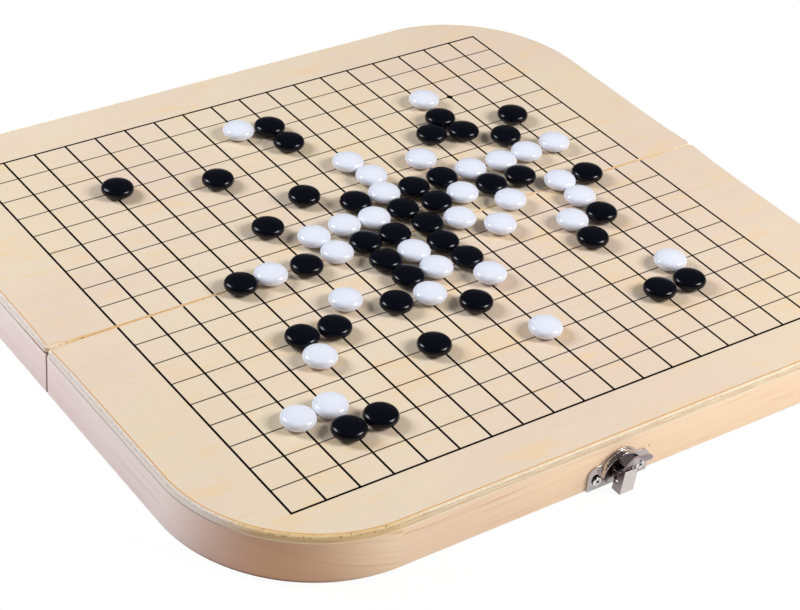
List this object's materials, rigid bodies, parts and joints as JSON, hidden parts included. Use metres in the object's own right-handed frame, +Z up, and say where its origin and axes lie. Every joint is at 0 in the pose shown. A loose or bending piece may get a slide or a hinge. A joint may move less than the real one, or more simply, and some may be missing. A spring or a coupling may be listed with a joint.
{
  "type": "folding go board case",
  "caption": "Hinged go board that folds into a shallow round-cornered box, with hollow halves for the stones, a case latch, and a game of black and white stones laid out.",
  "frame": {"origin": "middle of the fold between the two halves, on the plane of the frames' lower rims", "axes": "+X along the fold to the right, +Y towards the half with the strike, +Z up through the playing surface"},
  "size_m": [0.531, 0.5236, 0.0473],
  "materials": {
    "plywood": "satin",
    "pine": "satin",
    "hinge_metal": "satin",
    "latch_metal": "gloss",
    "screw_metal": "satin",
    "black_stone": "gloss",
    "white_stone": "gloss"
  },
  "bodies": {
    "front_half": {"front_panel": "plywood", "front_rail": "pine", "front_left_side": "pine", "front_right_side": "pine", "front_left_corner": "pine", "front_right_corner": "pine", "front_fold_rail": "pine", "front_hinge_screws": "hinge_metal", "left_hinge_front_leaf": "hinge_metal", "right_hinge_front_leaf": "hinge_metal", "left_hinge_pin": "hinge_metal", "right_hinge_pin": "hinge_metal", "latch_plate": "latch_metal", "latch_lever_pin": "latch_metal", "latch_screws": "screw_metal"},
    "back_half": {"back_panel": "plywood", "back_rail": "pine", "back_left_side": "pine", "back_right_side": "pine", "back_left_corner": "pine", "back_right_corner": "pine", "back_fold_rail": "pine", "back_hinge_screws": "hinge_metal", "left_hinge_back_leaf": "hinge_metal", "right_hinge_back_leaf": "hinge_metal", "strike_plate": "latch_metal", "strike_screws": "screw_metal"},
    "lever": {"latch_lever": "latch_metal", "latch_hook_pin": "latch_metal"},
    "hook": {"latch_hook": "latch_metal"},
    "front_stones": {"front_black_stones": "black_stone", "front_white_stones": "white_stone"},
    "back_stones": {"back_black_stones": "black_stone", "back_white_stones": "white_stone"}
  },
  "joints": [
    {"name": "fold", "type": "hinge", "parent": "front_half", "child": "back_half", "pos_m": [0, 0, -0.00015], "axis": [-1, 0, 0], "range_deg": [0, 180]},
    {"name": "lever_turn", "type": "hinge", "parent": "front_half", "child": "lever", "pos_m": [-0.001, -0.2511, 0.008], "axis": [-1, 0, 0], "range_deg": [-4, 24]},
    {"name": "hook_turn", "type": "hinge", "parent": "lever", "child": "hook", "pos_m": [-0.001, -0.2529, 0.0126], "axis": [-1, 0, 0], "range_deg": [-24, 4]},
    {"name": "front_stones_lift", "type": "slide", "parent": "front_half", "child": "front_stones", "axis": [0, 0, 1], "range_m": [0, 0.04]},
    {"name": "back_stones_lift", "type": "slide", "parent": "back_half", "child": "back_stones", "axis": [0, 0, 1], "range_m": [0, 0.04]}
  ],
  "couplings": [
    {"joint": "hook_turn", "follows": "lever_turn", "ratio": -1}
  ]
}
